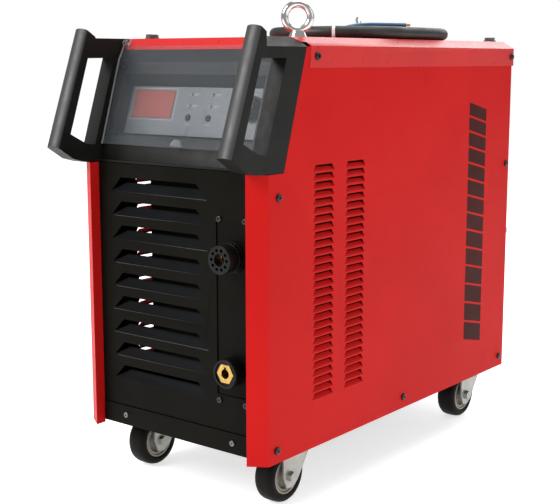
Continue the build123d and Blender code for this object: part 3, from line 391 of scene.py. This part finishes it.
def nurbs(name, points, radius, material):
    """One open smooth spline with a round section; points in cabinet mm."""
    curve = bpy.data.curves.new(name, "CURVE")
    curve.dimensions = "3D"
    spline = curve.splines.new("NURBS")
    spline.points.add(len(points) - 1)
    for point, place in zip(spline.points, points):
        point.co = (*at(*place), 1.0)
    spline.order_u = 3
    spline.use_endpoint_u = True
    spline.resolution_u = 10
    curve.bevel_depth = radius / 1000
    curve.bevel_resolution = 6
    curve.use_fill_caps = True
    curve.materials.append(material)
    return bpy.data.objects.new(name, curve)


cable = nurbs("mains_cable", LEAD + coil_points(), CABLE_R, CABLE)
link(cable, ROOT, ("mains_cable_lead", "mains_cable_coil"))

# bared cores at the jacket's end, three tucked inside the coil and one across its turns
CORES = {
    "core_blue": (BLUE, [(34, 300, 583), (56, 303, 584), (78, 315, 592), (98, 331, 594.6),
                         (117, 352, 594.4), (135, 384, 594.3)]),
    "core_brown": (BROWN, [(34, 297, 578.5), (60, 305, 577), (80, 330, 575.6), (88, 368, 575.4),
                           (84, 404, 575.4)]),
    "core_green": (GREEN, [(34, 299, 577), (58, 312, 576), (72, 340, 575.5), (76, 376, 575.4),
                           (70, 412, 575.4)]),
    "core_grey": (GREY, [(34, 303, 576.5), (52, 318, 575.8), (62, 344, 575.4), (62, 378, 575.4),
                         (54, 408, 575.4)]),
}


def strands(name, start, end, radius, count):
    """Short bundle of twisted copper strands."""
    bm = bmesh.new()
    along = (end - start)
    steps = 10
    for k in range(count):
        phase = 2 * math.pi * k / count
        ring_before = None
        frame_m = axes(start, along, (0, 0, 1))
        for i in range(steps + 1):
            f = i / steps
            turn = phase + 1.9 * f
            off = radius * (0.62 if k else 0.0) * (1 - 0.15 * f)
            centre = Vector((off * math.cos(turn), off * math.sin(turn), along.length * f))
            ring = []
            for j in range(8):
                a = 2 * math.pi * j / 8
                local = centre + Vector((math.cos(a), math.sin(a), 0)) * radius * 0.40
                ring.append(bm.verts.new(frame_m @ local))
            if ring_before:
                for j in range(8):
                    n = (j + 1) % 8
                    bm.faces.new((ring_before[j], ring_before[n], ring[n], ring[j]))
            else:
                bm.faces.new(ring)
            ring_before = ring
        bm.faces.new(ring_before)
    return mesh_piece(name, bm, COPPER, 60.0)


for name, (material, points) in CORES.items():
    piece = nurbs(name, points, 2.9, material)
    stands = ("cable_cores",) if name == "core_blue" else ()
    link(piece, ROOT, stands)
    last, before = at(*points[-1]), at(*points[-2])
    heading = (last - before).normalized()
    tip = strands(name + "_strands", last - heading * 0.001, last + heading * 0.008, 0.0021, 7)
    link(tip, ROOT)


def cable_tie(angle):
    """Nylon strap round all the turns."""
    turn = math.radians(angle)
    out = Vector((math.cos(turn), math.sin(turn), 0))
    along = Vector((-out.y, out.x, 0))
    centre = at(COIL_X, COIL_Y - COIL_HALF, 0)
    low, high = TOP + 0.1, TOP + 0.4 + 2 * CABLE_R + 0.6
    near, far = COIL_R - 5 * CABLE_R - 0.4, COIL_R + CABLE_R + 0.5
    path = []
    corner = 8.0
    for cx, cz, start in ((far - corner, high - corner, 0), (near + corner, high - corner, 90),
                          (near + corner, low + corner, 180), (far - corner, low + corner, 270)):
        for i in range(7):
            a = math.radians(start + 15 * i)
            path.append((cx + corner * math.cos(a), cz + corner * math.sin(a)))
    bm = bmesh.new()
    rings = []
    for i, (r, z) in enumerate(path):
        r0, z0 = path[i - 1]
        r1, z1 = path[(i + 1) % len(path)]
        run = math.hypot(r1 - r0, z1 - z0)
        normal = ((z1 - z0) / run, -(r1 - r0) / run)
        ring = []
        for side, depth in ((-2.4, 0), (2.4, 0), (2.4, 0.9), (-2.4, 0.9)):
            rr, zz = r - normal[0] * depth, z - normal[1] * depth
            ring.append(bm.verts.new(centre + out * rr / 1000 + along * side / 1000
                                     + Vector((0, 0, zz / 1000))))
        rings.append(ring)
    for one, two in zip(rings, rings[1:] + rings[:1]):
        for j in range(4):
            n = (j + 1) % 4
            bm.faces.new((one[j], one[n], two[n], two[j]))
    piece = mesh_piece("cable_tie", bm, NYLON)
    return add_bevel(piece, 0.0002)


link(cable_tie(-62.0), ROOT)

# ---- carried-over nodes: eased edges and a finish ---------------------------------------------
EASED = {
    "right_side_panel": 0.0005, "left_side_panel": 0.0005, "top_cover": 0.0007,
    "front_panel": 0.0005, "socket_plate": 0.0005, "base_pan": 0.0006,
    "right_handle_cheek": 0.0012, "left_handle_cheek": 0.0012, "head_frame": 0.0008,
    "control_fascia": 0.0003, "torch_connector_body": 0.0004, "earth_socket_body": 0.0004,
    "earth_socket_contact": 0.0004, "torch_connector_contact": 0.0003,
    "encoder_knob": 0.0003, "regulator_knob": 0.0004, "regulator_body": 0.0008,
    "mains_switch_body": 0.0002, "mains_switch_knob": 0.0003, "fan_frame": 0.0006,
    "cable_gland": 0.0006, "castor_plates": 0.0005,
}
for corner in CORNERS:
    EASED["castor_fork_" + corner] = 0.0006
DETAILED = {"visor"}
for corner in CORNERS:
    DETAILED |= {"wheel_rim_" + corner, "wheel_tyre_" + corner}
REPLACED = {"mains_cable_lead", "mains_cable_coil", "cable_cores"} | DETAILED

def mark_flaps(piece):
    """Paint the front louvres' leaning flaps a little lighter, as painted light from above, and
    ease the sill below each one with a painted highlight line.
    """
    mesh = piece.data
    mesh.materials.append(FLAP_PAINTED_LIGHT)
    mesh.materials.append(FOLD_PAINTED_HIGHLIGHT)
    bm = bmesh.new()
    bm.from_mesh(mesh)
    leaning = [face for face in bm.faces if -0.98 < face.normal.y < -0.6 and face.normal.z > 0.2]
    for face in leaning:
        face.material_index = 1
    sills = {near for face in leaning for edge in face.edges for near in edge.link_faces
             if near.normal.z > 0.99}
    ridges = [edge for face in sills for edge in face.edges
              if edge.calc_length() > 0.15
              and any(near.normal.y < -0.995 for near in edge.link_faces)]
    # the bevel on each sill edge takes the much lighter black: a painted highlight line
    bmesh.ops.bevel(bm, geom=ridges, offset=0.0009, offset_type="OFFSET", segments=2,
                    profile=0.5, affect="EDGES", material=2)
    for face in bm.faces:
        face.smooth = True
    bm.to_mesh(mesh)
    bm.free()
    mesh.set_sharp_from_angle(angle=math.radians(28.0))


GRIP_FOOT, GRIP_HEAD = (-73.2, 419.6), (-13.0, 584.2)      # ends of a grip's front, Y and Z


def mark_grip(piece):
    """The crowned front of a hand grip gets a lighter, glossier black than the moulding behind it:
    painted sheen.
    """
    piece.data.materials.append(GRIP_PAINTED_SHEEN)
    foot, head = at(0, *GRIP_FOOT), at(0, *GRIP_HEAD)
    forward = Vector((0, foot.z - head.z, head.y - foot.y)).normalized()
    for poly in piece.data.polygons:
        if (poly.center - foot).dot(forward) > -0.0004:
            poly.material_index = 1


for node in NODES:
    if node in REPLACED:
        continue
    if node in EASED:
        piece = copy_node(node, node_material(node), EASED[node])
        if node == "front_panel":
            mark_flaps(piece)
        if node.endswith("_handle_cheek"):
            mark_grip(piece)
        if node in ("right_side_panel", "left_side_panel"):
            side = 1 if node.startswith("right") else -1
            # inward faces of the side panels behind the front take the near-black painted shade
            piece.data.materials.append(PAINTED_SHADE_INSIDE)
            for poly in piece.data.polygons:
                if side * poly.normal.x < -0.95 and poly.center.y > at(0, 5, 0).y:
                    poly.material_index = 1
    else:
        mesh = NODES[node].data
        mesh.materials.clear()
        mesh.materials.append(node_material(node))
        for poly in mesh.polygons:
            poly.use_smooth = True
        mesh.set_sharp_from_angle(angle=math.radians(28.0))

# ---- castor wheels -----------------------------------------------------------------------------
TYRE_PROFILE = [(27.5, -14.6), (29.0, -15.6), (31.5, -16.0), (34.0, -15.7), (36.6, -14.4),
                (38.6, -12.0), (39.6, -8.6), (39.95, -4.4), (40.0, 0), (39.95, 4.4), (39.6, 8.6),
                (38.6, 12.0), (36.6, 14.4), (34.0, 15.7), (31.5, 16.0), (29.0, 15.6), (27.5, 14.6)]
RIM_SIDE = [(27.5, 14.0), (26.9, 14.6), (24.9, 14.6), (24.4, 14.0), (24.2, 12.2), (23.4, 12.0),
            (23.0, 13.0), (20.6, 13.2), (20.2, 12.4), (18.0, 8.0), (14.5, 6.2), (11.2, 7.2),
            (10.2, 9.0), (10.0, 16.0), (9.2, 17.6), (8.9, 18.3), (5.4, 18.4), (5.05, 18.0)]
RIM_PROFILE = RIM_SIDE + [(r, -h) for r, h in reversed(RIM_SIDE)]
for corner in CORNERS:
    low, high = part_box("wheel_tyre_" + corner)
    centre = (low + high) / 2
    place = axes(centre, (1, 0, 0), (0, 1, 0))
    for part, profile, material, slot in (("tyre", TYRE_PROFILE, TYRE, "tyre"),
                                          ("rim", RIM_PROFILE, RIM, "rim")):
        bm = bmesh.new()
        lathe_bm(bm, profile, place, 96)
        piece = mesh_piece(f"{part}_{corner}", bm, material, 32.0)
        link(piece, "wheel_" + corner, (f"wheel_{part}_{corner}",))

# ---- visor -------------------------------------------------------------------------------------
LEAN = math.radians(18.7)      # backward lean of the control face
TAB_X, TAB_HALF, TAB_TOP = 0.007, 0.014, at(0, 0, 440).z      # the visor's thumb tab
OUT = Vector((0, -math.cos(LEAN), math.sin(LEAN)))
FACE = axes(at(0, 5, 422), OUT, (1, 0, 0))


def on_face(x, s, depth):
    return FACE @ (Vector((x, s, -depth)) / 1000)


def make_visor():
    """Clear sheet: broad faces are see-through; narrow edges and the thumb tab are paler and less
    clear, as painted highlights.
    """
    bm = bmesh.new()
    bm.from_mesh(NODES["visor"].data)
    bmesh.ops.remove_doubles(bm, verts=bm.verts[:], dist=2e-6)
    bmesh.ops.dissolve_limit(bm, angle_limit=math.radians(0.4), verts=bm.verts[:],
                             edges=bm.edges[:])
    obj = mesh_piece("visor_sheet", bm, VISOR, 28.0)
    obj.data.materials.append(VISOR_EDGE_HIGHLIGHT)
    obj.data.materials.append(VISOR_TAB_HIGHLIGHT)
    for poly in obj.data.polygons:
        broad = abs(poly.normal.x) < 0.5 and poly.area > 2e-4
        in_tab = abs(poly.center.x - TAB_X) < TAB_HALF and poly.center.z < TAB_TOP
        poly.material_index = 0 if broad or poly.area < 6e-6 else 1
        if in_tab and not broad:
            poly.material_index = 2
    add_bevel(obj, 0.0004)
    return obj


link(make_visor(), "visor", ("visor",))

# ---- printed marks on the fascia -----------------------------------------------------------------
MARK_DEPTH = (25.94, 26.14)    # from just in front of the fascia's face to just inside it
FRAME_X, FRAME_S, FRAME_W = (-125, -39), (45.0, 92.0), 0.8     # line round the display
LAMP_X, LAMP_S = (-12.0, 28.0), (84.0, 67.0)
KEY_X, KEY_MARK_S = (-10.0, 28.0), (40.2, 41.0)
KNOB_X, KNOB_S, KNOB_TICKS, TICK = 106, 65, 11, 0.45
BOX_RINGS = ((0, 1, 3, 2), (4, 6, 7, 5), (0, 4, 5, 1), (2, 3, 7, 6), (0, 2, 6, 4), (1, 5, 7, 3))


def marks():
    """Frame round the display, dashes beside the lamps and keys, tick marks round the knob."""
    bm = bmesh.new()

    def bar(x0, x1, s0, s1):
        verts = [bm.verts.new(on_face(x, s, d)) for x in (x0, x1) for s in (s0, s1)
                 for d in MARK_DEPTH]
        for ring in BOX_RINGS:
            bm.faces.new([verts[i] for i in ring])

    bar(*FRAME_X, FRAME_S[1] - FRAME_W, FRAME_S[1])
    bar(*FRAME_X, FRAME_S[0], FRAME_S[0] + FRAME_W)
    bar(FRAME_X[0], FRAME_X[0] + FRAME_W, *FRAME_S)
    bar(FRAME_X[1] - FRAME_W, FRAME_X[1], *FRAME_S)
    for x in LAMP_X:
        for s in LAMP_S:
            bar(x + 6, x + 16, s + 0.6, s + 1.5)
            bar(x + 6, x + 12, s - 1.6, s - 0.7)
    for x in KEY_X:
        bar(x - 5, x + 5, *KEY_MARK_S)
    for i in range(KNOB_TICKS):
        turn = math.radians(-130 + 26 * i)
        for k in range(4):
            r = 20.5 + 0.8 * k
            x, s = KNOB_X + r * math.sin(turn), KNOB_S + r * math.cos(turn)
            if -130 < x < 130 and 24 < s < 94:
                bar(x - TICK, x + TICK, s - TICK, s + TICK)
    return mesh_piece("fascia_marks", bm, INK)


link(marks(), ROOT)


# ---- plain graphic on both sides ----------------------------------------------------------------
BAR_Y = (528.0, 586.0)         # front and rear end of every bar
BAR_FIRST = 74.0               # lower front corner of the lowest bar
BAR_HEIGHT, BAR_STEP = 30.0, 0.75      # the lowest bar's height, and how much each next one loses
BAR_GAP, BAR_SLANT, BAR_COUNT = 3.6, 13.0, 14
BAR_X = (171.66, 171.82)       # from just inside the side panel's face to just outside it


def side_graphic(side):
    """Slanted bars that shorten upwards, in place of any lettering."""
    bm = bmesh.new()
    inner, outer = side * BAR_X[0], side * BAR_X[1]
    z = BAR_FIRST
    for i in range(BAR_COUNT):
        height = BAR_HEIGHT - BAR_STEP * i
        ring = [(BAR_Y[0], z), (BAR_Y[1], z - BAR_SLANT), (BAR_Y[1], z - BAR_SLANT + height),
                (BAR_Y[0], z + height)]
        front = [bm.verts.new(at(outer, y, h)) for y, h in ring]
        back = [bm.verts.new(at(inner, y, h)) for y, h in ring]
        bm.faces.new(front)
        bm.faces.new(back[::-1])
        for j in range(4):
            n = (j + 1) % 4
            bm.faces.new((front[j], back[j], back[n], front[n]))
        z += height + BAR_GAP
    return mesh_piece("side_graphic_" + ("right" if side > 0 else "left"), bm, GRAPHIC)


for side in (1, -1):
    link(side_graphic(side), ROOT)

# ---- floor, backdrop and light -----------------------------------------------------------------
def studio_floor():
    """White disc that glows a little more away from the unit, so that it fades into the sky."""
    bm = bmesh.new()
    bmesh.ops.create_circle(bm, cap_ends=True, segments=96, radius=9.0)
    material = finish("studio_floor", (0.82, 0.82, 0.82), (0.86, 0.86, 0.86), (0.55, 0.70),
                      relief=(60.0, 0.02, 0.0005))
    tree = material.node_tree
    shader = tree.nodes["Principled BSDF"]
    shader.inputs["Emission Color"].default_value = (1.0, 1.0, 1.0, 1)
    spot = tree.nodes.new("ShaderNodeTexCoord")
    away = tree.nodes.new("ShaderNodeVectorMath")
    away.operation = "LENGTH"
    level = tree.nodes.new("ShaderNodeMapRange")
    level.inputs["From Min"].default_value = 1.0
    level.inputs["From Max"].default_value = 4.0
    level.inputs["To Min"].default_value = 0.68
    level.inputs["To Max"].default_value = 0.85
    tree.links.new(spot.outputs["Object"], away.inputs[0])
    tree.links.new(away.outputs["Value"], level.inputs["Value"])
    tree.links.new(level.outputs["Result"], shader.inputs["Emission Strength"])
    return mesh_piece("floor", bm, material)


def studio_sky():
    """White world: bright where the camera sees it, dimmer as a light."""
    world = bpy.data.worlds.new("studio")
    world.use_nodes = True
    tree = world.node_tree
    lit = tree.nodes["Background"]
    lit.inputs["Color"].default_value = (1.0, 1.0, 1.0, 1)
    lit.inputs["Strength"].default_value = 0.36
    seen = tree.nodes.new("ShaderNodeBackground")
    seen.inputs["Color"].default_value = (1.0, 1.0, 1.0, 1)
    seen.inputs["Strength"].default_value = 1.0
    ray = tree.nodes.new("ShaderNodeLightPath")
    either = tree.nodes.new("ShaderNodeMixShader")
    tree.links.new(ray.outputs["Is Camera Ray"], either.inputs["Fac"])
    tree.links.new(lit.outputs["Background"], either.inputs[1])
    tree.links.new(seen.outputs["Background"], either.inputs[2])
    tree.links.new(either.outputs["Shader"], tree.nodes["World Output"].inputs["Surface"])
    return world


floor = studio_floor()
bpy.context.scene.collection.objects.link(floor)
floor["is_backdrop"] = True
bpy.context.scene.world = studio_sky()
bpy.context.scene.view_settings.view_transform = "Standard"


def area_light(name, place, target, size, power):
    data = bpy.data.lights.new(name, "AREA")
    data.shape = "RECTANGLE"
    data.size, data.size_y = size
    data.energy = power
    lamp = bpy.data.objects.new(name, data)
    bpy.context.scene.collection.objects.link(lamp)
    lamp.location = place
    lamp.rotation_euler = (Vector(target) - Vector(place)).to_track_quat("-Z", "Y").to_euler()


area_light("key", (-1.2, -2.6, 2.2), (0, 0, 0.4), (1.4, 1.4), 82)
area_light("side", (2.8, 0.4, 1.6), (0, 0, 0.4), (2.0, 1.6), 10)
area_light("rear", (-0.67, 2.57, 1.99), (0.165, 0.02, 0.65), (2.6, 1.6), 30)
area_light("top", (0.2, 0.3, 3.0), (0, 0, 0.4), (2.4, 2.4), 45)

low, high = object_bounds()
